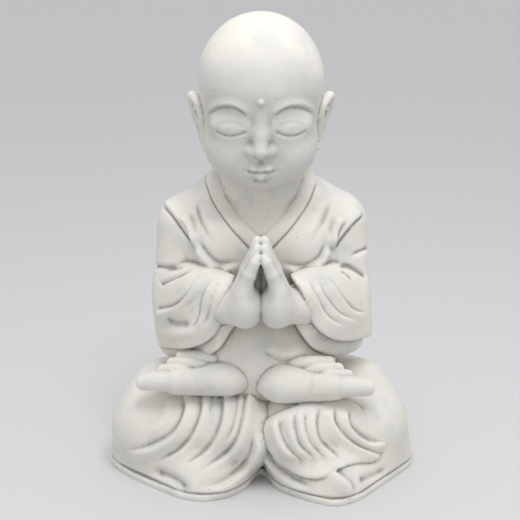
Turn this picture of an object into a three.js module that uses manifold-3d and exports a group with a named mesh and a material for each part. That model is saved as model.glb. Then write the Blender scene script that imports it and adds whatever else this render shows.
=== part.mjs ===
// A stone child monk, seated cross-legged with palms together, cast in one piece.
// Millimetres, +Z up. The figure faces -Y, and the origin is the middle of the flat underside.
// Masses of the body are rounded fields that flow into one another. A sphere is pulled on to each
// group of them, folds are pressed into the cloth, and the pieces are joined into one solid.
import * as THREE from "three";
import { mergeVertices } from "three/addons/utils/BufferGeometryUtils.js";
import Module from "manifold-3d";

const wasm = await Module();
wasm.setup();

// Driving dimensions.
const HEIGHT = 430;
const CHIN = 282; // height of the chin above the floor
const HEAD_BOW = THREE.MathUtils.degToRad(12);
const HEAD_HALF_WIDTH = 57;
const SHEET_LEAN = THREE.MathUtils.degToRad(17); // folds are laid out on a sheet leaning back by this
const FOLD_RADIUS = 6;
const BASE_THICKNESS = 6;
const FINGER_RADIUS = 5.2;
const SIDES = [-1, 1];

// ---- Fields: each returns the signed distance from a point to a rounded mass ----

const at = (x, y, z) => new THREE.Vector3(x, y, z);

// A limb with round ends, whose radius runs from one end's to the other's.
function limb(from, to, startRadius, endRadius = startRadius) {
  const [a, b] = [at(...from), at(...to)];
  const along = b.clone().sub(a);
  const lengthSquared = along.lengthSq();
  return (p) => {
    const t = THREE.MathUtils.clamp(p.clone().sub(a).dot(along) / lengthSquared, 0, 1);
    const nearest = a.clone().addScaledVector(along, t);
    return p.distanceTo(nearest) - THREE.MathUtils.lerp(startRadius, endRadius, t);
  };
}

// An egg-shaped mass, pitched about X.
function egg(centre, radii, pitch = 0) {
  const middle = at(...centre);
  const axis = at(1, 0, 0);
  const least = Math.min(...radii);
  return (p) => {
    const q = p.clone().sub(middle).applyAxisAngle(axis, -pitch);
    return (Math.hypot(q.x / radii[0], q.y / radii[1], q.z / radii[2]) - 1) * least;
  };
}

// Several masses flowing into one another over a given softness.
function flow(masses, softness) {
  return (p) => masses.reduce((nearest, mass) => {
    const distance = mass(p);
    const overlap = Math.max(softness - Math.abs(nearest - distance), 0) / softness;
    return Math.min(nearest, distance) - (overlap * overlap * softness) / 4;
  }, 1e3);
}

// ---- Skins, rolls and solids ----

// A sphere's vertices pulled in from all round on to a field. Its first pole points along the axis,
// so that its rings run with the folds, and crowding draws the rings towards that pole.
function skin(centre, reach, field, across, down, axis = [0, -0.35, 1], crowding = 1) {
  const geometry = new THREE.SphereGeometry(1, across, down);
  const position = geometry.getAttribute("position");
  const middle = at(...centre);
  const turn = new THREE.Quaternion().setFromUnitVectors(at(0, 1, 0), at(...axis).normalize());
  for (let i = 0; i < position.count; i++) {
    const direction = at(0, 0, 0).fromBufferAttribute(position, i);
    const ring = Math.acos(THREE.MathUtils.clamp(direction.y, -1, 1)) / Math.PI;
    const around = Math.atan2(direction.x, direction.z);
    direction.setFromSphericalCoords(1, Math.PI * ring ** crowding, around).applyQuaternion(turn);
    let [inside, outside] = [0, reach];
    for (let step = 0; step < 18; step++) {
      const half = (inside + outside) / 2;
      if (field(middle.clone().addScaledVector(direction, half)) < 0) inside = half;
      else outside = half;
    }
    const point = middle.clone().addScaledVector(direction, inside);
    position.setXYZ(i, point.x, point.y, point.z);
  }
  return geometry;
}

// A capsule bent along a curve through stations of [x, y, z, radius]; flat squeezes it along its
// facing, which is the direction its broad side looks.
function roll(stations, sides = 6, steps = 4, flat = 1, facing = [0.31, 0.83, 0.46]) {
  const curve = new THREE.CatmullRomCurve3(stations.map(([x, y, z]) => at(x, y, z)));
  const last = stations.length - 1;
  const radiusAt = (t) => {
    const i = Math.min(Math.floor(t * last), last - 1);
    return THREE.MathUtils.lerp(stations[i][3], stations[i + 1][3], t * last - i);
  };
  const geometry = new THREE.CapsuleGeometry(1, 1, 1, sides, steps);
  const position = geometry.getAttribute("position");
  for (let i = 0; i < position.count; i++) {
    const p = at(0, 0, 0).fromBufferAttribute(position, i);
    const t = THREE.MathUtils.clamp(p.y + 0.5, 0, 1);
    const forward = curve.getTangent(t);
    const sideways = forward.clone().cross(at(...facing)).normalize();
    const upright = sideways.clone().cross(forward);
    const point = curve.getPoint(t)
      .addScaledVector(sideways, p.x * radiusAt(t))
      .addScaledVector(upright, p.z * radiusAt(t) * flat)
      .addScaledVector(forward, (p.y + 0.5 - t) * radiusAt(t));
    position.setXYZ(i, point.x, point.y, point.z);
  }
  return geometry;
}

// A closed geometry with its shared vertices merged and its triangles with no area dropped.
function weld(geometry) {
  const bare = new THREE.BufferGeometry();
  bare.setAttribute("position", geometry.getAttribute("position").clone());
  if (geometry.getIndex()) bare.setIndex(geometry.getIndex().clone());
  const merged = mergeVertices(bare, 1e-3);
  const corners = Array.from(merged.getIndex().array);
  const kept = [];
  for (let i = 0; i < corners.length; i += 3) {
    const [a, b, c] = corners.slice(i, i + 3);
    if (a !== b && b !== c && c !== a) kept.push(a, b, c);
  }
  return merged.setIndex(kept);
}

// A closed geometry as a solid.
function solid(geometry) {
  const closed = weld(geometry);
  const made = new wasm.Manifold(new wasm.Mesh({
    numProp: 3,
    vertProperties: new Float32Array(closed.getAttribute("position").array),
    triVerts: new Uint32Array(closed.getIndex().array),
  }));
  if (made.volume() < 0) throw new Error("inside out");
  return made;
}

// ---- Folds: raised rolls of cloth, laid out as [across, up] points on a leaning sheet ----

const sheetUp = at(0, Math.sin(SHEET_LEAN), Math.cos(SHEET_LEAN));
const sheetInward = at(0, Math.cos(SHEET_LEAN), -Math.sin(SHEET_LEAN));

// Where a point of the sheet, carried straight back, meets a field.
function meet(field, across, up) {
  const p = at(across, 0, 0).addScaledVector(sheetUp, up).addScaledVector(sheetInward, -200);
  for (let step = 0; step < 80; step++) p.addScaledVector(sheetInward, 0.9 * field(p));
  if (Math.abs(field(p)) > 1) throw new Error(`a fold runs off the cloth at ${across}, ${up}`);
  return p;
}

// One fold, thin at its ends and sunk to a third of its radius in the cloth.
function fold(field, course, radius = FOLD_RADIUS) {
  const last = course.length - 1;
  const stations = course.map(([across, up], i) => {
    const size = i === 0 || i === last ? 0.5 * radius : radius;
    const p = meet(field, across, up).addScaledVector(sheetInward, size / 3);
    return [p.x, p.y, p.z, size];
  });
  return roll(stations, 4, Math.round(1.5 * last), 0.8, sheetInward.clone().negate().toArray());
}

// A block as deep as the figure behind a part of the sheet, bounded by a curve through the course's
// points and then by straight lines through the corners.
function region(course, corners) {
  const shape = new THREE.Shape();
  shape.moveTo(...course[0]);
  shape.splineThru(course.slice(1).map(([across, up]) => new THREE.Vector2(across, up)));
  corners.forEach(([across, up]) => shape.lineTo(across, up));
  const block = new THREE.ExtrudeGeometry(shape, { depth: 400, curveSegments: 2, bevelEnabled: false });
  const outward = sheetInward.clone().negate();
  return block.translate(0, 0, -200).applyMatrix4(new THREE.Matrix4().makeBasis(at(1, 0, 0), sheetUp, outward));
}

// The part of a closed geometry inside another.
function within(geometry, block) {
  const kept = solid(geometry).intersect(solid(block)).getMesh();
  const made = new THREE.BufferGeometry();
  made.setAttribute("position", new THREE.BufferAttribute(kept.vertProperties, 3));
  return made.setIndex(new THREE.BufferAttribute(kept.triVerts, 1));
}

// A fan of folds, evenly spread between a first and a last course with as many points.
function fan(field, first, last, count, radius) {
  return Array.from({ length: count }, (_, i) => {
    const t = i / (count - 1);
    const course = first.map(([across, up], k) => [
      THREE.MathUtils.lerp(across, last[k][0], t),
      THREE.MathUtils.lerp(up, last[k][1], t),
    ]);
    return fold(field, course, radius);
  });
}

// ---- Torso and upper arms ----

const torso = flow([
  egg([0, -2, 112], [74, 70, 60]),
  egg([0, 16, 208], [78, 52, 64]),
  limb([0, 14, 252], [0, 4, 296], 34, 27),
  ...SIDES.flatMap((s) => [
    limb([s * 24, 16, 263], [s * 69, 14, 236 + 2 * s], 27, 24),
    limb([s * 73 + 2, 14, 229], [s * 77, 4, 172], 25, 27),
    egg([s * 34, -14, 219], [27, 25, 28]),
  ]),
], 14);
const body = [
  skin([0, 8, 170], 190, torso, 19, 14),
  ...SIDES.map((s) => fold(torso, [[s * 86, 240], [s * 76, 226], [s * 62, 204]], 5)),
];

// The robe's collar: one band a side, from behind the neck to where they cross on the chest.
const collar = SIDES.map((s) => {
  const front = [[45, 263], [37, 243], [21, 221], [1, 200]].map(([across, up]) => {
    const p = meet(torso, s * across, up);
    return [p.x, p.y, p.z, 6.5];
  });
  return roll([
    [0, 41, 282, 6.5], [s * 26, 33, 281, 6.5], [s * 42, 15, 278, 6.5], ...front,
  ], 5, 10, 0.4, [0, -0.85, 0.53]);
});

// ---- Sleeves ----

// The sleeve runs forward to the wrist and hangs from the forearm down to the lap, with a fan of folds.
// Its mouth ends along one curve, and the far side of it, seen under the forearm, along another.
const mouths = {
  left: [[-16, 190], [-24, 172], [-31, 155], [-37, 130], [-50, 115], [-70, 108], [-100, 106], [-130, 108]],
  right: [[20, 190], [28, 172], [38, 158], [46, 134], [62, 119], [82, 114], [100, 116], [130, 119]],
};
const farSides = {
  left: [[-16, 140], [-27, 125], [-40, 107], [-61, 98], [-93, 97], [-130, 97]],
  right: [[26, 142], [36, 123], [50, 107], [72, 99], [90, 103], [104, 113], [130, 119]],
};

function sleeve(s) {
  const side = s < 0 ? "left" : "right";
  const hang = s < 0 ? 0 : 5;
  const corners = [[s * 130, 260], [s * 10, 260]];
  const cloth = flow([
    limb([s * 77, 2, 176], [s * 32, -60, 183], 26, 20),
    limb([s * (76 + 0.4 * hang), -8, 150], [s * 46, -54, 154], 25, 20),
    limb([s * (77 + 0.6 * hang), -8, 128 + hang], [s * 56, -47, 134], 19, 16),
    limb([s * (81 + 1.6 * hang), -10, 114 + 1.6 * hang], [s * 62, -42, 119], 12, 12),
  ], 20);
  const far = flow([
    limb([s * 80, -8, 120], [s * 30, -54, 130], 18, 18),
    limb([s * 76, -8, 150], [s * 40, -50, 156], 19, 17),
  ], 16);
  const folds = fan(
    cloth,
    [[s * 36, 170], [s * 42, 154], [s * 50, 138], [s * 64, 126]],
    [[s * 54, 174], [s * 66, 160], [s * 80, 147], [s * 98, 141]], 3, 6,
  );
  const axis = [s * 0.85, -0.2, 0.5];
  return [
    within(skin([s * 66, -28, 158], 110, cloth, 12, 10, axis), region(mouths[side], corners)),
    within(skin([s * 60, -30, 136], 110, far, 9, 8, axis), region(farSides[side], corners)),
    ...folds,
  ];
}

// ---- Legs: thigh, shin, and the cloth that falls from them to the floor ----

function leg(s) {
  const wide = s < 0 ? 0 : 2;
  const cloth = flow([
    limb([s * 40, 44, 50], [s * 90, -6, 58], 50, 38),
    limb([s * 90, -6, 58], [s * (106 - 2 * wide), -12, 38], 38, 38),
    limb([s * 94, -27, 40], [s * (s < 0 ? 17 : 34), -50, 48], 45, s < 0 ? 39 : 42),
    limb([s * (109 + wide), -19, 6], [s * (56 + 5 * wide), -69 - 4 * wide, 4], 36.5, 36),
    limb([s * 32, -44, 26], [s * 42, -61, 5], 33, 34),
    egg([s * 34, 38, 34], [68, 56, 66]),
  ], 12);
  const axis = [s * 0.71, -0.39, 0.58];
  const under = skin([s * 70, -16, 36], 170, cloth, 18, 13, axis, 1.2);
  if (s < 0) {
    return [
      under,
      ...fan(
        cloth,
        [[-68, 66], [-68, 46], [-79, 26], [-100, 12], [-128, 4]],
        [[-11, 76], [-14, 54], [-20, 26], [-33, 8], [-58, -6]], 4,
      ),
      fold(cloth, [[-5, 32], [-8, 10], [-20, -8], [-40, -18], [-66, -21]], 7),
    ];
  }
  // The cloth of this leg lies over that of the other, from the seam up to the foot.
  const raised = (p) => cloth(p) - 5 * THREE.MathUtils.clamp(Math.min((108 - p.x) / 34, -p.y / 30), -0.4, 1);
  const over = within(
    skin([66, -16, 36], 170, raised, 16, 12, axis, 1.2),
    region(
      [[-12, 20], [0, 37], [14, 49], [38, 58], [68, 60], [98, 58], [150, 60]],
      [[150, 6], [70, -2], [54, -9], [36, -9], [18, 1], [4, 19]],
    ),
  );
  return [
    under,
    over,
    ...fan(
      raised,
      [[17, 45], [20, 32], [28, 17], [46, 3]],
      [[78, 53], [81, 37], [96, 21], [122, 12]], 4,
    ),
  ];
}

// The thin base that the cloth rests on, a lobe under each shin and a notch between them.
const outline = new THREE.Shape();
outline.moveTo(0, -52);
outline.splineThru([
  [26, -88], [66, -115], [96, -92], [147, -22], [138, 30], [96, 72], [44, 90], [0, 86],
].map(([x, y]) => new THREE.Vector2(x, y)));
outline.splineThru([
  [-44, 90], [-96, 72], [-138, 30], [-147, -22], [-112, -69], [-56, -106], [-24, -82], [0, -52],
].map(([x, y]) => new THREE.Vector2(x, y)));
const base = new THREE.ExtrudeGeometry(outline, {
  depth: BASE_THICKNESS + 10, curveSegments: 2, bevelEnabled: false,
}).translate(0, 0, -10);

// Each foot lies sole up on the other thigh, heel inwards and toes outwards.
function foot(s) {
  const [heel, y, z, r] = s < 0 ? [14, -66, 104, 12] : [3, -74, 102, 14.5];
  const sole = skin([s * (heel + 50), y + 6, z], 90, flow([
    egg([s * (heel + 16), y + 1, z], [16, 14, r]),
    limb([s * (heel + r), y, z], [s * (heel + 52), y + 3, z - 1], r - 1, r - 1),
    egg([s * (heel + 60), y + 11, z - 1], [32, 21, r + 1]),
  ], 16), 9, 10, [s, 0.2, 0]);
  const toes = [0, 1, 2, 3, 4].map((k) => roll([
    [s * (heel + 76 - 8 * k), y + 4 + 8.5 * k, z - 3 + 3.5 * k, k ? 7 : 11],
    [s * (heel + 94 - 7.5 * k), y + 6 + 8.5 * k, z - 4 + 4.4 * k, k ? 5.2 : 8.5],
  ], 5, 1));
  return [sole, ...toes];
}

// ---- Hands, palm to palm ----

function hand(s) {
  const fingers = [0, 1, 2, 3].map((k) => {
    const [tip, bend] = [[227, 0], [234, 2], [239, 3], [234, 2]][k];
    const y = -94 + 8 * k;
    return roll([
      [s * (14.5 + bend), y, 196, FINGER_RADIUS + 1],
      [s * (9.5 + bend), y, 214, FINGER_RADIUS + 0.6],
      [s * 3.6, y + 2, tip, FINGER_RADIUS - 0.6],
    ], 5, 2);
  });
  const thumb = roll([[s * 12, -66, 182, 7.5], [s * 8, -64, 200, 6], [s * 5, -66, 214, 4.6]], 5, 2);
  const palm = skin([s * 14, -86, 183], 60, flow([
    egg([s * 15, -86, 190], [10, 18, 18]),
    egg([s * 12.5, -86, 175], [10.5, 16, 13]),
  ], 12), 9, 8);
  const forearm = roll([
    [s * 2, -68, 172, 14], [s * 14, -66, 173, 18], [s * 32, -56, 174, 20], [s * 56, -34, 176, 18],
  ], 8, 3);
  return [...fingers, thumb, palm, forearm];
}

// ---- Head, laid out from the chin up in its own frame, then bowed ----

const headFrame = new THREE.Matrix4()
  .makeTranslation(0, 4.5, CHIN)
  .multiply(new THREE.Matrix4().makeRotationX(HEAD_BOW));

const skull = skin([0, -6, 78], 110, flow([
  egg([0, 8, 88], [HEAD_HALF_WIDTH, 66, 60]),
  egg([0, -20, 46], [47, 41, 42]),
  egg([0, -38, 20], [24, 19, 16]),
  ...SIDES.map((s) => egg([s * 25, -32, 38], [22, 25, 22])),
], 16), 19, 16);

const features = [
  roll([[0, -54, 72, 4], [0, -60, 60, 4.6], [0, -64, 48, 6.5]], 6, 2),
  roll([[-12, -55, 30, 2.2], [0, -60, 30, 3.2], [12, -55, 30, 2.2]], 6, 4),
  roll([[-8, -56, 26, 2.4], [0, -59, 25, 3.4], [8, -56, 26, 2.4]], 6, 2),
  ...SIDES.flatMap((s) => [
    roll([[s * 10, -56.5, 82, 1.8], [s * 28, -51.5, 88, 2.2], [s * 46, -38.5, 79, 1.8]], 4, 4, 0.8),
    roll([[s * 12, -53.5, 65, 3.4], [s * 24, -52, 66, 5], [s * 36, -45, 65, 3.4]], 6, 3, 0.8),
    roll([[s * 5, -60, 45, 4], [s * 8, -56, 46, 3]], 5, 1),
    roll([[s * 54, -2, 65, 4], [s * 62, 11, 68, 4.6], [s * 57, 13, 50, 4.6], [s * 50, 4, 28, 6.6]], 6, 7),
    roll([[s * 52, 3, 60, 7], [s * 50, 4, 36, 7]], 6, 1),
  ]),
];

// ---- One casting ----

const head = [skull, ...features].map((piece) => piece.applyMatrix4(headFrame));
const pieces = [
  ...body, base, ...collar, ...head,
  ...SIDES.flatMap((s) => [...sleeve(s), ...leg(s), ...foot(s), ...hand(s)]),
];
const joined = pieces.map(solid).reduce((sum, piece) => sum.add(piece));
const below = solid(new THREE.BoxGeometry(600, 600, 200).translate(0, 0, -100));
// The outer shell alone, so that pockets left between the masses are filled.
const shells = joined.subtract(below).decompose().sort((first, second) => second.volume() - first.volume());
const cast = shells[0].getMesh();

const geometry = new THREE.BufferGeometry();
geometry.setAttribute("position", new THREE.BufferAttribute(cast.vertProperties, 3));
geometry.setIndex(new THREE.BufferAttribute(cast.triVerts, 1));
geometry.computeBoundingBox();
const box = geometry.boundingBox;
const trim = HEIGHT / box.max.z;
geometry.translate(-(box.min.x + box.max.x) / 2, -(box.min.y + box.max.y) / 2, 0);
geometry.scale(trim, trim, trim);

const stone = new THREE.MeshStandardMaterial({ color: 0xd9d6cf, roughness: 0.8, metalness: 0 });
const statue = new THREE.Mesh(geometry, stone);
statue.name = "statue";

const model = new THREE.Group();
model.add(statue);
export default model;
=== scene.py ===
import math

import bmesh
import bpy
import numpy as np
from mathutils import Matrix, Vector


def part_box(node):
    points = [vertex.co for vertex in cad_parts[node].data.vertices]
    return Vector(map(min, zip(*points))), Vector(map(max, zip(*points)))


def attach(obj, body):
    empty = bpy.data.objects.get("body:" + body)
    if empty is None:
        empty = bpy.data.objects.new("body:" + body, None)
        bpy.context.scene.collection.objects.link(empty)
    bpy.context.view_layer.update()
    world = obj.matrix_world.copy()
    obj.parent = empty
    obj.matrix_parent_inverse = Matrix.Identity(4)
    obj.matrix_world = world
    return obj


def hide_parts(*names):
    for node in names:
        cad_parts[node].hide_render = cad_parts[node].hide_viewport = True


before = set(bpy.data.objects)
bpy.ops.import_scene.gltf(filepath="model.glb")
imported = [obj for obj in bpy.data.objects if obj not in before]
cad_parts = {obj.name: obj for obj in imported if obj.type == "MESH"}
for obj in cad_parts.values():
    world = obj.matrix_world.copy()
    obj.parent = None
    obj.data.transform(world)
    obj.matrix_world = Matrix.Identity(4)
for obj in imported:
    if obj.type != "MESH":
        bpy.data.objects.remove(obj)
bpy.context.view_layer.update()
CAD_LOW, CAD_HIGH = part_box("statue")

# The sculpture is modelled in millimetres, +Z up and facing -Y, and is set into the frame at the end.
CHIN = 282.0
NECK_SETBACK = 4.5
HEAD_BOW = math.radians(12)
SHEET_LEAN = math.radians(17)
BASE_TOP = 6.0
SEAM_DEPTH = 1.8  # of the line between the cloth and the base
SEAM_WIDTH = 1.4
FLOOR_CONTACT = 0.6  # anything lower than this rests flat on the floor
VOXEL = 1.0
TRIANGLES = 190000
SIDES = (-1, 1)  # the figure's two sides, at -X and at +X


# ---------------------------------------------------------------- fields
# Each takes points as rows and returns their signed distances from a rounded mass.

def limb(start, end, start_radius, end_radius=None):
    """A round-ended limb, whose radius runs from one end's to the other's."""
    a, b = np.array(start, float), np.array(end, float)
    ab = b - a
    grow = (start_radius if end_radius is None else end_radius) - start_radius

    def field(p):
        t = np.clip((p - a) @ ab / (ab @ ab), 0, 1)
        return np.linalg.norm(p - a - t[:, None] * ab, axis=1) - start_radius - grow * t

    return field


def chain(stations):
    """Limbs end to end through stations of (x, y, z, radius)."""
    return [limb(a[:3], b[:3], a[3], b[3]) for a, b in zip(stations, stations[1:])]


def egg(centre, radii, turn=0.0):
    """An egg-shaped mass, turned about its upright axis."""
    c, r = np.array(centre, float), np.array(radii, float)
    cosine, sine = math.cos(turn), math.sin(turn)

    def field(p):
        x, y, z = (p - c).T
        x, y = cosine * x + sine * y, cosine * y - sine * x
        return (np.sqrt((x / r[0]) ** 2 + (y / r[1]) ** 2 + (z / r[2]) ** 2) - 1) * r.min()

    return field


def blend(first, second, softness):
    """The nearer of two distances, with the join between them filled softly."""
    overlap = np.maximum(softness - np.abs(first - second), 0) / softness
    return np.minimum(first, second) - overlap ** 2 * softness / 4


def flow(masses, softness):
    """Masses that run into one another."""
    def field(p):
        total = masses[0](p)
        for mass in masses[1:]:
            total = blend(total, mass(p), softness)
        return total

    return field


def spline(points, count):
    """Points along a Catmull-Rom curve through the given ones, of any dimension."""
    p = np.array(points, float)
    p = np.vstack([2 * p[0] - p[1], p, 2 * p[-1] - p[-2]])
    s = np.linspace(0, len(p) - 3, count)
    i = np.minimum(s.astype(int), len(p) - 4)
    t = (s - i)[:, None]
    a, b, c, d = p[i], p[i + 1], p[i + 2], p[i + 3]
    squared = 2 * a - 5 * b + 4 * c - d
    cubed = 3 * b - a - 3 * c + d
    return 0.5 * (2 * b + (c - a) * t + squared * t ** 2 + cubed * t ** 3)


def sheet(turn=0.0, lean=SHEET_LEAN):
    """A leaning sheet in front of the figure: its across, up and inward directions."""
    inward = np.array([math.sin(turn) * math.cos(lean), math.cos(turn) * math.cos(lean), -math.sin(lean)])
    across = np.array([math.cos(turn), -math.sin(turn), 0.0])
    return across, np.cross(across, inward), inward


def hemmed(body, course, keep, softness=3.0):
    """A body cut straight through along a course on the front sheet, keeping its left (1) or right (-1)."""
    across, up, _ = sheet()
    edge = spline(course, 60)
    run = np.gradient(edge, axis=0)

    def field(p):
        q = np.stack([p @ across, p @ up], 1)
        gap = np.linalg.norm(q[:, None] - edge[None], axis=2)
        k = gap.argmin(1)
        off = q - edge[k]
        left = run[k, 0] * off[:, 1] - run[k, 1] * off[:, 0]
        side = -np.sign(left) * gap[np.arange(len(q)), k] * keep
        return -blend(-body(p), -side, softness)

    return field


# ---------------------------------------------------------------- meshes

def points_of(mesh):
    co = np.empty(len(mesh.vertices) * 3)
    mesh.vertices.foreach_get("co", co)
    return co.reshape(-1, 3)


def set_points(mesh, co):
    mesh.vertices.foreach_set("co", co.ravel())
    mesh.update()


def normals_of(mesh):
    n = np.empty(len(mesh.vertices) * 3)
    mesh.vertex_normals.foreach_get("vector", n)
    return n.reshape(-1, 3)


def skin(name, centre, reach, field, divisions=6):
    """A ball whose vertices are pulled in from all round on to a field."""
    bm = bmesh.new()
    bmesh.ops.create_icosphere(bm, subdivisions=divisions, radius=1)
    mesh = bpy.data.meshes.new(name)
    bm.to_mesh(mesh)
    bm.free()
    way = points_of(mesh)
    way /= np.linalg.norm(way, axis=1)[:, None]
    inside, outside = np.zeros(len(way)), np.full(len(way), float(reach))
    for _ in range(15):
        half = (inside + outside) / 2
        within = field(centre + way * half[:, None]) < 0
        inside, outside = np.where(within, half, inside), np.where(within, outside, half)
    set_points(mesh, centre + way * inside[:, None])
    return mesh


def slope(field, p):
    """The outward direction of a field at each point."""
    steps = np.eye(3) * 0.5
    grad = np.stack([field(p + step) - field(p - step) for step in steps], 1)
    return grad / (np.linalg.norm(grad, axis=1)[:, None] + 1e-9)


def settled(field, points):
    """Points moved the shortest way on to a field."""
    p = np.array(points, float)
    for _ in range(12):
        p -= slope(field, p) * field(p)[:, None]
    return p


def roll(name, stations, facing=(0.31, 0.83, 0.46), flat=1.0, rings=30, sides=16):
    """A round-ended tube along a curve through stations of (x, y, z, radius), flattened along its facing,
    which is one direction or the field that the tube lies on."""
    bm = bmesh.new()
    bmesh.ops.create_uvsphere(bm, u_segments=sides, v_segments=rings, radius=1)
    mesh = bpy.data.meshes.new(name)
    bm.to_mesh(mesh)
    bm.free()
    p = points_of(mesh)
    along = 1 - np.arccos(np.clip(p[:, 2], -1, 1)) / math.pi
    around = np.arctan2(p[:, 1], p[:, 0])
    cap = 0.16  # the share of the ball that rounds each end
    t = np.clip((along - cap) / (1 - 2 * cap), 0, 1)
    past = np.clip(1 - np.minimum(along, 1 - along) / cap, 0, 1) * math.pi / 2
    line = spline(stations, 200)
    tangent = np.gradient(line[:, :3], axis=0)
    tangent /= np.linalg.norm(tangent, axis=1)[:, None]
    i = np.round(t * 199).astype(int)
    centre, radius, forward = line[i, :3], line[i, 3], tangent[i]
    sideways = np.cross(forward, slope(facing, centre) if callable(facing) else np.array(facing, float))
    sideways /= np.linalg.norm(sideways, axis=1)[:, None]
    upright = np.cross(sideways, forward)
    ring = radius * np.cos(past)
    co = (centre + sideways * (ring * np.cos(around))[:, None]
          + upright * (ring * np.sin(around) * flat)[:, None]
          + forward * (radius * np.sin(past) * np.sign(along - 0.5))[:, None])
    set_points(mesh, co)
    bm = bmesh.new()
    bm.from_mesh(mesh)
    bmesh.ops.recalc_face_normals(bm, faces=bm.faces)
    bm.to_mesh(mesh)
    bm.free()
    return mesh


# ---------------------------------------------------------------- strokes

def laid(field, course, count=60, turn=0.0, lean=SHEET_LEAN):
    """A course of (across, up) points on the sheet, carried straight in on to a field."""
    across, up, inward = sheet(turn, lean)
    flat = spline(course, count)
    p = flat[:, :1] * across + flat[:, 1:2] * up - 220 * inward
    for _ in range(70):
        p += inward * np.clip(0.8 * field(p), -10, 40)[:, None]
    return p


def press(mesh, strokes):
    """Presses strokes of (curve, height, left width, right width, lead-in, lead-out) into a mesh."""
    co, normal = points_of(mesh), normals_of(mesh)
    move = np.zeros(len(co))
    for curve, height, left, right, lead_in, lead_out in strokes:
        reach = 3 * max(left, right)
        near = np.all((co > curve.min(0) - reach) & (co < curve.max(0) + reach), axis=1).nonzero()[0]
        if not len(near):
            continue
        gap = np.linalg.norm(co[near, None] - curve[None], axis=2)
        k = gap.argmin(1)
        tangent = np.gradient(curve, axis=0)
        tangent /= np.linalg.norm(tangent, axis=1)[:, None] + 1e-9
        offset = co[near] - curve[k]
        sidewards = np.einsum("ij,ij->i", np.cross(tangent[k], normal[near]), offset)
        last = len(curve) - 1
        inner = (k > 0) & (k < last)
        flat = offset - np.einsum("ij,ij->i", offset, tangent[k])[:, None] * tangent[k]
        away = np.where(inner, np.linalg.norm(flat, axis=1), gap[np.arange(len(near)), k])
        share = k / last
        ends = np.clip(share / max(lead_in, 1e-6), 0, 1) * np.clip((1 - share) / max(lead_out, 1e-6), 0, 1)
        ends = ends * ends * (3 - 2 * ends)
        width = np.where(sidewards < 0, left, right)
        wave = np.exp(-(away / width) ** 2)
        # a fold with one steep side has a hollow along the foot of it
        if height > 0 and min(left, right) < 0.6 * max(left, right):
            steep = min(left, right)
            foot = np.exp(-((away - 1.8 * steep) / (0.9 * steep)) ** 2)
            wave -= np.where(width < max(left, right), 0.45 * foot, 0)
        move[near] += height * ends * wave
    set_points(mesh, co + normal * move[:, None])


def ridge(field, course, height=3.0, left=5.0, right=5.0, lead_in=0.2, lead_out=0.3, **way):
    """A fold, whose narrow side is its steep one."""
    return laid(field, course, **way), height, left, right, lead_in, lead_out


def groove(field, course, depth=1.2, width=1.2, lead_in=0.2, lead_out=0.3, **way):
    return laid(field, course, **way), -depth, width, width, lead_in, lead_out


# ---------------------------------------------------------------- torso and collar

pieces = []
FROM_BEHIND = {"turn": math.pi, "lean": 0}

torso = flow([
    egg((0, -2, 112), (74, 70, 60)),
    egg((0, 16, 208), (78, 52, 64)),
    limb((0, 14, 252), (0, 4, 296), 34, 27),
    *[mass for s in SIDES for mass in (
        limb((s * 24, 16, 263), (s * 69, 14, 236 + 2 * s), 27, 24),
        limb((s * 73 + 2, 14, 229), (s * 77, 4, 172), 25, 27),
        egg((s * 34, -14, 219), (27, 25, 28)),
    )],
], 14)
body = skin("body", (0, 8, 170), 190, torso, 7)
press(body, [
    # the cloth falls in pouches over the forearms
    ridge(torso, [(-60, 206), (-50, 191), (-37, 183), (-16, 184)], 5, 2.6, 9),
    ridge(torso, [(63, 204), (54, 189), (38, 181), (16, 183)], 5, 9, 2.6),
    # shallow folds from the shoulders towards the hands
    ridge(torso, [(-56, 244), (-51, 226), (-42, 208)], 2.0, 7, 2.4),
    ridge(torso, [(60, 246), (52, 226), (42, 208)], 1.6, 3, 7),
    # belly
    ridge(torso, [(3, 112), (20, 103), (42, 106)], 3.0, 8, 3),
    # back: long folds from the shoulders to the seat
    *[ridge(torso, [(s * 62, 216), (s * 50, 170), (s * 38, 130), (s * 34, 96)], 3.0, 9, 9, **FROM_BEHIND)
      for s in SIDES],
    *[ridge(torso, [(s * 30, 236), (s * 22, 180), (s * 12, 116)], 1.6, 7, 7, **FROM_BEHIND)
      for s in SIDES],
])
pieces.append(body)

for s in SIDES:
    nape = settled(torso, [(0, 40, 282), (s * 24, 34, 281), (s * 41, 16, 278)])
    front = laid(torso, [(s * 45, 263), (s * 37, 243), (s * 21, 221), (s * 1, 200)], 7)
    pieces.append(roll("collar", [(x, y, z, 6.2) for x, y, z in [*nape, *front]], torso, 0.3, 90, 24))

# ---------------------------------------------------------------- arms and sleeves

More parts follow.
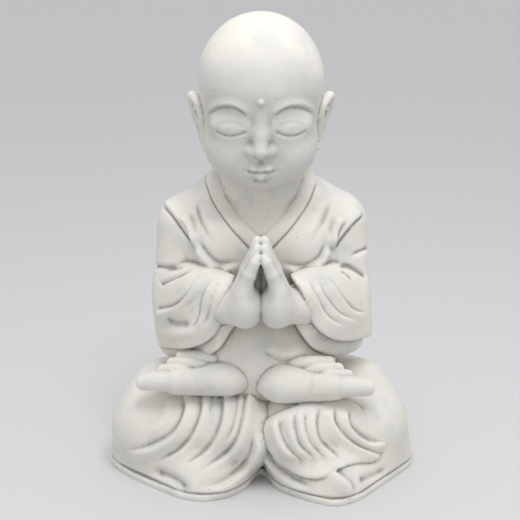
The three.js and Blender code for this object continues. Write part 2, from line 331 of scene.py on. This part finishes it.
# Where the mouth of each sleeve, and its far side under it, end on the front sheet.
MOUTH = {
    -1: [(-16, 190), (-24, 172), (-31, 155), (-37, 130), (-50, 115), (-70, 108), (-100, 106), (-130, 108)],
    1: [(20, 190), (28, 172), (38, 158), (46, 134), (62, 119), (82, 114), (100, 116), (130, 119)],
}
FAR_SIDE = {
    -1: [(-16, 140), (-27, 125), (-40, 107), (-61, 98), (-93, 97), (-130, 97)],
    1: [(26, 142), (36, 123), (50, 107), (72, 99), (90, 103), (104, 113), (130, 119)],
}
sleeves = {}
for s in SIDES:
    hang = 0 if s < 0 else 5
    cloth = flow([
        limb((s * 77, 2, 176), (s * 32, -60, 183), 26, 20),
        limb((s * (76 + 0.4 * hang), -8, 150), (s * 46, -54, 154), 25, 20),
        limb((s * (77 + 0.6 * hang), -8, 128 + hang), (s * 56, -47, 134), 19, 16),
        limb((s * (81 + 1.6 * hang), -10, 114 + 1.6 * hang), (s * 62, -42, 119), 12, 12),
    ], 20)
    sleeves[s] = cloth
    sleeve = skin("sleeve", (s * 66, -28, 158), 110, hemmed(cloth, MOUTH[s], s))
    if s < 0:
        folds = [
            ridge(cloth, [(-53, 177), (-62, 160), (-78, 145), (-100, 139)], 4.5, 9, 2.2, 0.2, 0.1),
            ridge(cloth, [(-42, 174), (-50, 156), (-54, 136), (-62, 122)], 2.4, 8, 1.8),
            ridge(cloth, [(-33, 174), (-40, 156), (-45, 136), (-56, 121)], 2.0, 6, 1.8),
            ridge(cloth, [(-56, 126), (-76, 121), (-98, 121)], 2.4, 5, 5),
            groove(cloth, [(-47, 174), (-56, 157), (-72, 143)], 0.9, 1.1),
        ]
    else:
        folds = [
            ridge(cloth, [(40, 174), (48, 155), (60, 136), (80, 124)], 2.6, 1.8, 8),
            ridge(cloth, [(48, 175), (58, 154), (72, 138), (94, 128)], 2.2, 1.8, 8),
            ridge(cloth, [(58, 176), (72, 156), (84, 142), (100, 136)], 3.4, 2.0, 9),
            groove(cloth, [(64, 168), (78, 152), (92, 144)], 0.9, 1.1),
        ]
    press(sleeve, folds)
    pieces.append(sleeve)
    far = flow([
        limb((s * 80, -8, 120), (s * 30, -54, 130), 18, 18),
        limb((s * 76, -8, 150), (s * 40, -50, 156), 19, 17),
    ], 16)
    pieces.append(skin("far_side", (s * 64, -26, 136), 110, hemmed(far, FAR_SIDE[s], s, 4)))

# ---------------------------------------------------------------- legs

legs = {}
for s in SIDES:
    wide = 0 if s < 0 else 2
    cloth = flow([
        limb((s * 40, 44, 50), (s * 90, -6, 58), 50, 38),
        limb((s * 90, -6, 58), (s * (106 - 2 * wide), -12, 38), 38, 38),
        limb((s * 94, -27, 40), (s * (34 if s > 0 else 17), -50, 48), 45, 42 if s > 0 else 39),
        limb((s * (109 + wide), -19, 6), (s * (56 + 5 * wide), -69 - 4 * wide, 4), 36.5, 36),
        limb((s * 32, -44, 26), (s * 42, -61, 5), 33, 34),
        egg((s * 34, 38, 34), (68, 56, 66)),
    ], 12)
    legs[s] = cloth
    leg = skin("leg", (s * 70, -16, 36), 170, cloth, 7)
    if s < 0:
        strokes = [
            ridge(cloth, [(-84, 62), (-85, 52), (-92, 38), (-108, 24)], 1.8, 6, 4),
            ridge(cloth, [(-70, 70), (-68, 50), (-79, 28), (-103, 13), (-132, 5)], 5.0, 10, 2.6),
            ridge(cloth, [(-53, 72), (-52, 50), (-60, 28), (-73, 12), (-97, -3)], 4.6, 8, 2.4),
            groove(cloth, [(-47, 70), (-45, 58), (-47, 46)], 1.4, 1.3),
            ridge(cloth, [(-35, 76), (-32, 52), (-38, 28), (-51, 10), (-76, -4)], 4.6, 8, 2.4),
            ridge(cloth, [(-18, 80), (-18, 58), (-23, 34), (-34, 16)], 2.4, 5, 2.2),
            ridge(cloth, [(-9, 82), (-12, 56), (-18, 28), (-31, 9), (-60, -9)], 5.2, 7, 2.2),
            ridge(cloth, [(-2, 34), (-5, 12), (-17, -6), (-36, -18), (-62, -22)], 5.0, 9, 3),
            # the hem turns under beside the front lobe
            groove(cloth, [(-104, -8), (-86, -10), (-74, -16), (-66, -26)], 5.0, 5.0),
        ]
    else:
        strokes = [
            ridge(cloth, [(2, 22), (8, 2), (26, -14), (52, -24)], 4.0, 3, 8),
            ridge(cloth, [(46, 8), (67, -5), (79, -16), (81, -28)], 4.6, 3, 8),
            groove(cloth, [(88, -12), (104, -10), (122, -6)], 3.0, 4.0),
        ]
    press(leg, strokes)
    pieces.append(leg)

seat = flow([egg((s * 34, 38, 34), (68.4, 56.4, 66.4)) for s in SIDES], 40)
pieces.append(skin("seat", (0, 20, 40), 130, seat, 7))

# The cloth of the right leg lies over that of the left, from the seam up to the foot.
def layered(p):
    return legs[1](p) - 5.0 * np.clip(np.minimum((108 - p[:, 0]) / 34, -p[:, 1] / 30), -0.4, 1)


# Its upper hem runs under the foot, and its lower one across the front of the shin.
upper = hemmed(layered, [(-12, 20), (0, 37), (14, 49), (38, 58), (68, 60), (98, 58), (150, 60)], -1, 5)
upper = hemmed(upper, [(-2, 44), (4, 20), (18, 2), (36, -8), (54, -8), (70, 0), (90, 4), (150, 8)], 1, 4)
overlap = skin("overlap", (66, -16, 36), 170, upper, 7)
press(overlap, [
    ridge(upper, [(13, 46), (15, 33), (22, 18), (38, 3)], 3.4, 2.0, 6),
    groove(upper, [(20, 47), (21, 36), (27, 24)], 1.2, 1.2),
    ridge(upper, [(27, 52), (28, 36), (34, 19), (50, 5)], 3.6, 2.0, 6),
    ridge(upper, [(37, 55), (37, 39), (43, 21), (58, 5)], 2.6, 2.0, 5),
    ridge(upper, [(50, 57), (48, 39), (54, 21), (76, 3)], 3.4, 2.0, 7),
    ridge(upper, [(64, 57), (66, 38), (86, 16), (124, 0)], 4.6, 2.2, 8),
    ridge(upper, [(77, 56), (80, 36), (98, 20), (126, 18)], 5.6, 2.4, 10),
    groove(upper, [(80, 60), (90, 57), (98, 49)], 2.4, 2.0),
])
pieces.append(overlap)

# ---------------------------------------------------------------- feet

for s in SIDES:
    x0, y, z, r = (14, -66, 104, 12) if s < 0 else (3, -74, 102, 14.5)
    foot = flow([
        egg((s * (x0 + 17), y + 3, z), (18, 14, r)),
        limb((s * (x0 + 16), y + 3, z), (s * (x0 + 64), y + 4, z - 3), r, 11),
        egg((s * (x0 + 40), y + 12, z - 6), (44, 14, 12)),
    ], 12)
    pieces.append(skin("foot", (s * (x0 + 40), y + 8, z - 2), 90, foot))
    for k in range(5):
        root, tip = (10.5, 7.8) if k == 0 else (6.0, 4.8)
        pieces.append(roll("toe", [
            (s * (x0 + 58 - 9 * k), y + 4 + 2 * k, z - 4 + 4.6 * k, root),
            (s * (x0 + 78 - 9 * k), y + 2 + 2 * k, z - 3 + 5.4 * k, root * 0.9),
            (s * (x0 + 94 - 8.5 * k), y + 6 + 2.5 * k, z - 6 + 5.6 * k, tip),
        ]))

# ---------------------------------------------------------------- hands, palm to palm

for s in SIDES:
    fingers = []
    # little finger first, each with the height of its tip and how far its knuckles stand out
    for k, (tip, bend) in enumerate([(227, 0), (234, 2), (239, 3), (234, 2)]):
        y = -95 + 8 * k
        fingers += chain([
            (s * (14.5 + bend), y + 1, 198, 6.2),
            (s * (9.8 + bend), y + 1, 213, 5.8),
            (s * 4.6, y + 2, 224 + 0.6 * (tip - 227), 5.2),
            (s * 3.0, y + 3, tip, 4.4),
        ])
    palm = flow([
        egg((s * 15, -86, 190), (10, 18, 18)),
        egg((s * 12, -84, 178), (10, 14, 12)),
    ], 12)
    wrist = limb((s * 15, -81, 179), (s * 38, -60, 173), 14, 17)
    thumb = flow(chain([(s * 9, -71, 180, 8), (s * 6, -71, 198, 7), (s * 4, -73, 212, 5)]), 3)
    grip = flow([flow(fingers, 1.6), flow([palm, wrist], 14), thumb], 5)
    pieces.append(skin("hand", (s * 14, -82, 194), 70, grip))
    pieces.append(roll("forearm", [
        (s * 2, -66, 173, 10), (s * 14, -64, 173, 14), (s * 32, -54, 174, 17), (s * 56, -34, 176, 18),
    ]))

# ---------------------------------------------------------------- head, laid out from the chin up

def bow(mesh):
    """Bows a part of the head forward about the chin and lifts it on to the neck."""
    x, y, z = points_of(mesh).T
    c, n = math.cos(HEAD_BOW), math.sin(HEAD_BOW)
    set_points(mesh, np.stack([x, NECK_SETBACK + c * y - n * z, CHIN + n * y + c * z], 1))
    return mesh


face = flow([
    egg((0, 8, 88), (57, 66, 60)),
    egg((0, -20, 46), (47, 41, 42)),
    egg((0, -38, 20), (24, 19, 16)),
    *[egg((s * 25, -32, 38), (22, 25, 22)) for s in SIDES],
], 16)
lids = [egg((s * 25.5, -44.8, 66), (16, 10, 9.5), s * 0.38) for s in SIDES]
mouth = [egg((0, -50, 28), (19, 11.5, 13))]
soft = flow([face, *lids, *mouth], 9)
nose = flow([
    *chain([(0, -53, 78, 3.5), (0, -58.5, 63, 4.6), (0, -64, 49.5, 6.4)]),
    *[egg((s * 7, -60, 48), (4.6, 5.6, 4.4)) for s in SIDES],
], 4)
lips = flow([
    *chain([(-14, -57, 32, 1.8), (-6, -62, 32, 3.2), (0, -62.6, 31.4, 2.9), (6, -62, 32, 3.2),
            (14, -57, 32, 1.8)]),
    *chain([(-10, -58.6, 26.8, 2.2), (0, -61.6, 24.6, 4.0), (10, -58.6, 26.8, 2.2)]),
], 1.2)
visage = flow([flow([soft, nose], 6), lips, egg((0, -58, 92), (2.2, 2.6, 2.2))], 2.5)
head = skin("head", (0, -6, 78), 110, visage, 7)
STRAIGHT_ON = {"lean": 0.0}
face_strokes = []
for s in SIDES:
    brow = [(s * 8, 78), (s * 14, 84.5), (s * 24, 88), (s * 35, 85), (s * 43, 78), (s * 49, 70)]
    lashes = [(s * 12, 66.5), (s * 17, 63.4), (s * 25, 60.8), (s * 33, 60.6), (s * 41, 62.6)]
    lid_crease = [(s * 13, 69), (s * 18, 71.5), (s * 26, 72.6), (s * 34, 70.5), (s * 41, 65.5)]
    under, over = (1.7, 4.0) if s < 0 else (4.0, 1.7)
    face_strokes += [
        ridge(visage, brow, 2.2, under, over, 0.25, 0.3, **STRAIGHT_ON),
        groove(visage, lashes, 2.2, 1.0, 0.12, 0.12, **STRAIGHT_ON),
        groove(visage, lid_crease, 0.6, 1.3, 0.25, 0.25, **STRAIGHT_ON),
        # nostril and corner of the mouth
        groove(visage, [(s * 2.6, 43.6), (s * 6.4, 44.2)], 1.3, 1.3, 0.3, 0.3, **STRAIGHT_ON),
        groove(visage, [(s * 14, 30.4), (s * 15.6, 32)], 1.2, 1.5, 0.3, 0.3, **STRAIGHT_ON),
    ]
between_lips = [(-14, 31), (-8, 28.9), (-3, 29.4), (0, 28.8), (3, 29.4), (8, 28.9), (14, 31)]
press(head, face_strokes + [
    groove(visage, between_lips, 2.4, 1.1, 0.1, 0.1, **STRAIGHT_ON),
    groove(visage, [(0, 41), (0, 36)], 0.5, 2.0, **STRAIGHT_ON),
    groove(visage, [(-8, 20.4), (0, 18.6), (8, 20.4)], 1.5, 2.6, **STRAIGHT_ON),
])
pieces.append(bow(head))
for s in SIDES:
    pieces.append(bow(roll("helix", [
        (s * 52, -4, 58, 4.0), (s * 57, 0, 69, 4.2), (s * 63, 12, 71, 4.4), (s * 60, 16, 53, 4.6),
        (s * 54, 11, 38, 5.0), (s * 49.5, 4, 26, 6.4),
    ], rings=50)))
    pieces.append(bow(roll("shell", [(s * 52, 5, 61, 7), (s * 49, 6, 32, 7)])))
    pieces.append(bow(roll("inner_ear", [
        (s * 57, 3, 63, 2.2), (s * 60, 9, 59, 2.4), (s * 57, 7, 47, 2.6),
    ])))

# ---------------------------------------------------------------- base

floor_line = spline([
    (0, -52), (26, -88), (66, -115), (96, -92), (147, -22), (138, 30), (96, 72), (44, 90), (0, 86),
    (-44, 90), (-96, 72), (-138, 30), (-147, -22), (-112, -69), (-56, -106), (-24, -82), (0, -52),
], 160)[:-1]
bm = bmesh.new()
bmesh.ops.create_circle(bm, cap_ends=True, segments=len(floor_line), radius=1)
for vert, (x, y) in zip(bm.verts, floor_line):
    vert.co = (x, y, 0)
raised = bmesh.ops.extrude_face_region(bm, geom=bm.faces[:])["geom"]
top = [element for element in raised if isinstance(element, bmesh.types.BMVert)]
bmesh.ops.translate(bm, vec=(0, 0, BASE_TOP), verts=top)
bmesh.ops.triangulate(bm, faces=bm.faces)
bmesh.ops.recalc_face_normals(bm, faces=bm.faces)
base = bpy.data.meshes.new("base")
bm.to_mesh(base)
bm.free()
pieces.append(base)

# ---------------------------------------------------------------- one casting

def joined(meshes):
    """All the meshes in one, with nothing below the floor."""
    bm = bmesh.new()
    for mesh in meshes:
        bm.from_mesh(mesh)
    for vert in bm.verts:
        vert.co.z = max(vert.co.z, 0)
    mesh = bpy.data.meshes.new("statue_cast")
    bm.to_mesh(mesh)
    bm.free()
    for used in meshes:
        bpy.data.meshes.remove(used)
    return mesh


def applied(obj):
    """Swaps the object's mesh for the one its modifiers make."""
    graph = bpy.context.evaluated_depsgraph_get()
    mesh = bpy.data.meshes.new_from_object(obj.evaluated_get(graph))
    obj.modifiers.clear()
    old, obj.data = obj.data, mesh
    bpy.data.meshes.remove(old)


statue = bpy.data.objects.new("statue_cast", joined(pieces))
bpy.context.scene.collection.objects.link(statue)
remesh = statue.modifiers.new("union", "REMESH")
remesh.mode = "VOXEL"
remesh.voxel_size = VOXEL
smooth = statue.modifiers.new("soften", "SMOOTH")
smooth.factor = 0.5
smooth.iterations = 3
applied(statue)

# Creases that run over more than one mass, then the line between the cloth and the base.
both = {s: (lambda p, s=s: np.minimum(torso(p), sleeves[s](p))) for s in SIDES}
press(statue.data, [
    *[groove(torso, [(s * 52, 262), (s * 44.5, 243), (s * 28, 219), (s * 9, 198)], 1.1, 1.0, 0.1, 0.05)
      for s in SIDES],
    ridge(both[-1], [(-92, 246), (-78, 230), (-64, 210), (-57, 196)], 3.5, 8, 2.0, 0.15, 0.3),
    ridge(both[-1], [(-74, 230), (-65, 218), (-58, 200)], 2.2, 4, 2.0),
    groove(both[-1], [(-103, 184), (-84, 182), (-66, 184)], 3.0, 3.0, 0.02, 0.5),
    groove(both[-1], [(-95, 166), (-76, 175), (-60, 182)], 2.6, 2.2, 0.05, 0.5),
    groove(both[-1], [(-88, 134), (-76, 131), (-62, 132)], 2.4, 4.5),
    ridge(both[1], [(96, 236), (82, 223), (70, 208), (66, 198)], 3.5, 2.0, 8, 0.15, 0.3),
    ridge(both[1], [(76, 229), (69, 216), (66, 200)], 2.2, 2.0, 4),
    groove(both[1], [(102, 201), (92, 197), (80, 192)], 2.4, 2.4, 0.05, 0.5),
    groove(both[1], [(70, 184), (83, 183), (100, 173)], 2.6, 2.4, 0.3, 0.1),
    groove(both[1], [(73, 180), (80, 176), (86, 169)], 1.6, 1.6),
])
co, normal = points_of(statue.data), normals_of(statue.data)
upright = 1 - np.abs(normal[:, 2])
seam = SEAM_DEPTH * np.exp(-((co[:, 2] - BASE_TOP - 1.2) / SEAM_WIDTH) ** 2) * np.clip(3 * upright, 0, 1)
co -= normal * seam[:, None]
co[:, 2] = np.where(co[:, 2] < FLOOR_CONTACT, 0, co[:, 2])
set_points(statue.data, co)
thin = statue.modifiers.new("thin", "DECIMATE")
count = sum(len(p.vertices) - 2 for p in statue.data.polygons)
thin.ratio = min(1.0, TRIANGLES / count)
applied(statue)

co = points_of(statue.data)
low, high = co.min(0), co.max(0)
scale = (CAD_HIGH.z - CAD_LOW.z) / high[2]
middle = np.array([(low[0] + high[0]) / 2, (low[1] + high[1]) / 2, 0])
set_points(statue.data, (co - middle) * scale)
for polygon in statue.data.polygons:
    polygon.use_smooth = True

# ---------------------------------------------------------------- hollows and edges, for the material

def relief(mesh, rounds):
    """How far each vertex stands out from its smoothed surroundings, along its normal, in metres."""
    co, normal = points_of(mesh), normals_of(mesh)
    ends = np.empty(len(mesh.edges) * 2, int)
    mesh.edges.foreach_get("vertices", ends)
    a, b = ends[::2], ends[1::2]
    count = np.bincount(a, minlength=len(co)) + np.bincount(b, minlength=len(co))
    soft = co.copy()
    for _ in range(rounds):
        sums = [np.bincount(a, soft[b, k], len(co)) + np.bincount(b, soft[a, k], len(co)) for k in range(3)]
        soft = np.stack(sums, 1) / count[:, None]
    return np.einsum("ij,ij->i", co - soft, normal)


def mark(name, values):
    """Keeps a value for each vertex, for the material to read."""
    layer = statue.data.attributes.new(name, "FLOAT", "POINT")
    layer.data.foreach_set("value", values.astype(np.float32))


mark("fine_relief", relief(statue.data, 5))
mark("broad_relief", relief(statue.data, 60))
# Painted shade: the face and the hands are painted a little greyer, for the shade that the light leaves on
# them.
hands_and_face = flow([egg((0, -84, 196), (26, 36, 44)), egg((0, -58, 334), (62, 46, 66))], 4)
mark("painted_face_hands_shade", np.clip(0.5 - hands_and_face(co) / 16, 0, 1))

# ---------------------------------------------------------------- material

stone = bpy.data.materials.new("stone")
stone.use_nodes = True
nodes, links = stone.node_tree.nodes, stone.node_tree.links
shader = nodes["Principled BSDF"]


def node(kind, **values):
    """A new shader node, with its own settings and the values of its inputs."""
    made = nodes.new("ShaderNode" + kind)
    for key, value in values.items():
        if hasattr(made, key):
            setattr(made, key, value)
        else:
            made.inputs[key.replace("_", " ")].default_value = value
    return made


def link(source, target, socket):
    links.new(source, target.inputs[socket])


def noise(scale, detail=3.0, roughness=0.5):
    made = node("TexNoise", Scale=scale, Detail=detail, Roughness=roughness)
    link(where, made, "Vector")
    return made.outputs["Fac"]


def span(source, low_in, high_in, low_out=0.0, high_out=1.0):
    """Maps one range of a value on to another, and holds it at the ends."""
    made = node("MapRange")
    for k, value in enumerate((low_in, high_in, low_out, high_out)):
        made.inputs[k + 1].default_value = value
    links.new(source, made.inputs[0])
    return made.outputs[0]


def tint(amount, base, colour):
    """Mixes a colour into the base by an amount."""
    made = node("Mix", data_type="RGBA")
    links.new(amount, made.inputs[0])
    if isinstance(base, tuple):
        made.inputs[6].default_value = base
    else:
        links.new(base, made.inputs[6])
    made.inputs[7].default_value = colour
    return made.outputs[2]


where = node("TexCoord").outputs["Object"]
fine = node("Attribute", attribute_name="fine_relief").outputs["Fac"]
broad = node("Attribute", attribute_name="broad_relief").outputs["Fac"]
face_hands_shade = node("Attribute", attribute_name="painted_face_hands_shade").outputs["Fac"]

# pale patches, grey-blue and yellowish stains
colour = tint(span(noise(14, 4), 0.35, 0.68), (0.67, 0.645, 0.59, 1), (0.74, 0.71, 0.645, 1))
colour = tint(span(noise(31, 5, 0.6), 0.48, 0.66, 0, 0.7), colour, (0.55, 0.555, 0.57, 1))
colour = tint(span(noise(23, 3), 0.54, 0.70, 0, 0.5), colour, (0.74, 0.68, 0.57, 1))
# painted shade, greyer on the face and the hands
colour = tint(span(face_hands_shade, 0, 1, 0, 0.7), colour, (0.50, 0.495, 0.475, 1))
# fine speckle, painted shade in hollows and creases, and painted highlights on raised edges
colour = tint(span(noise(420, 4, 0.65), 0.35, 0.75, 0, 0.14), colour, (0.45, 0.44, 0.42, 1))
# painted shade, darker in broad hollows and along fine creases
colour = tint(span(broad, -0.0006, -0.0040, 0, 0.12), colour, (0.40, 0.385, 0.36, 1))
colour = tint(span(fine, -0.00006, -0.0005, 0, 0.8), colour, (0.24, 0.23, 0.215, 1))
# painted highlight, paler along raised edges
colour = tint(span(fine, 0.00008, 0.0005, 0, 0.5), colour, (0.76, 0.735, 0.69, 1))

# pin holes, in one cell of five
cells = node("TexVoronoi", Scale=150.0)
link(where, cells, "Vector")
chosen = node("SeparateColor")
links.new(cells.outputs["Color"], chosen.inputs[0])
near_middle = span(cells.outputs["Distance"], 0.055, 0.085, 1, 0)
pit = node("Math", operation="MULTIPLY")
links.new(near_middle, pit.inputs[0])
links.new(span(chosen.outputs[0], 0.80, 0.82), pit.inputs[1])
colour = tint(pit.outputs[0], colour, (0.16, 0.15, 0.14, 1))
links.new(colour, shader.inputs["Base Color"])
links.new(span(noise(60, 4), 0.3, 0.7, 0.68, 0.86), shader.inputs["Roughness"])
shader.inputs["Specular IOR Level"].default_value = 0.35

grain = node("Math", operation="MULTIPLY_ADD")
links.new(noise(900, 3, 0.6), grain.inputs[0])
grain.inputs[1].default_value = 0.35
links.new(noise(160, 4, 0.55), grain.inputs[2])
surface = node("Math", operation="SUBTRACT")
links.new(grain.outputs[0], surface.inputs[0])
links.new(pit.outputs[0], surface.inputs[1])
bump = node("Bump", Strength=0.5, Distance=0.0005)
links.new(surface.outputs[0], bump.inputs["Height"])
links.new(bump.outputs["Normal"], shader.inputs["Normal"])

statue.data.materials.clear()
statue.data.materials.append(stone)

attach(statue, "root")
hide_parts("statue")

# ---------------------------------------------------------------- floor, light and camera

FLOOR_SIZE = 12
bpy.ops.mesh.primitive_plane_add(size=FLOOR_SIZE)
floor = bpy.context.object
floor.name = "floor"
pale = bpy.data.materials.new("pale_floor")
pale.use_nodes = True
pale.node_tree.nodes["Principled BSDF"].inputs["Base Color"].default_value = (0.60, 0.60, 0.60, 1)
pale.node_tree.nodes["Principled BSDF"].inputs["Roughness"].default_value = 0.9
floor.data.materials.append(pale)

world = bpy.data.worlds.new("studio")
bpy.context.scene.world = world
world.use_nodes = True
world.node_tree.nodes["Background"].inputs[0].default_value = (0.97, 0.985, 1, 1)
world.node_tree.nodes["Background"].inputs[1].default_value = 0.86


def panel(name, place, energy, size):
    """A square light that faces the middle of the statue."""
    light = bpy.data.lights.new(name, "AREA")
    light.energy = energy
    light.size = size
    lamp = bpy.data.objects.new(name, light)
    bpy.context.scene.collection.objects.link(lamp)
    lamp.location = place
    lamp.rotation_mode = "QUATERNION"
    lamp.rotation_quaternion = (Vector((0, 0, 0.2)) - Vector(place)).to_track_quat("-Z", "Y")


panel("key", place=(0.13, -0.5, 1.4), energy=9, size=0.6)

ELEVATION = math.radians(17)
DISTANCE = 1.15
AIM_HEIGHT = 0.198
SENSOR_WIDTH = 36
FOCAL_LENGTH = 84.115
FRAMING_SHIFT = -0.00288
target = Vector((0, -middle[1] * scale, AIM_HEIGHT))
back = Vector((0, -math.cos(ELEVATION), math.sin(ELEVATION)))
lens = bpy.data.cameras.new("camera")
lens.sensor_width = SENSOR_WIDTH
lens.lens = FOCAL_LENGTH
lens.shift_x = FRAMING_SHIFT
camera = bpy.data.objects.new("camera", lens)
bpy.context.scene.collection.objects.link(camera)
camera.location = target + back * DISTANCE
camera.rotation_mode = "QUATERNION"
camera.rotation_quaternion = (-back).to_track_quat("-Z", "Y")
bpy.context.scene.camera = camera
bpy.context.scene.view_settings.view_transform = "Standard"
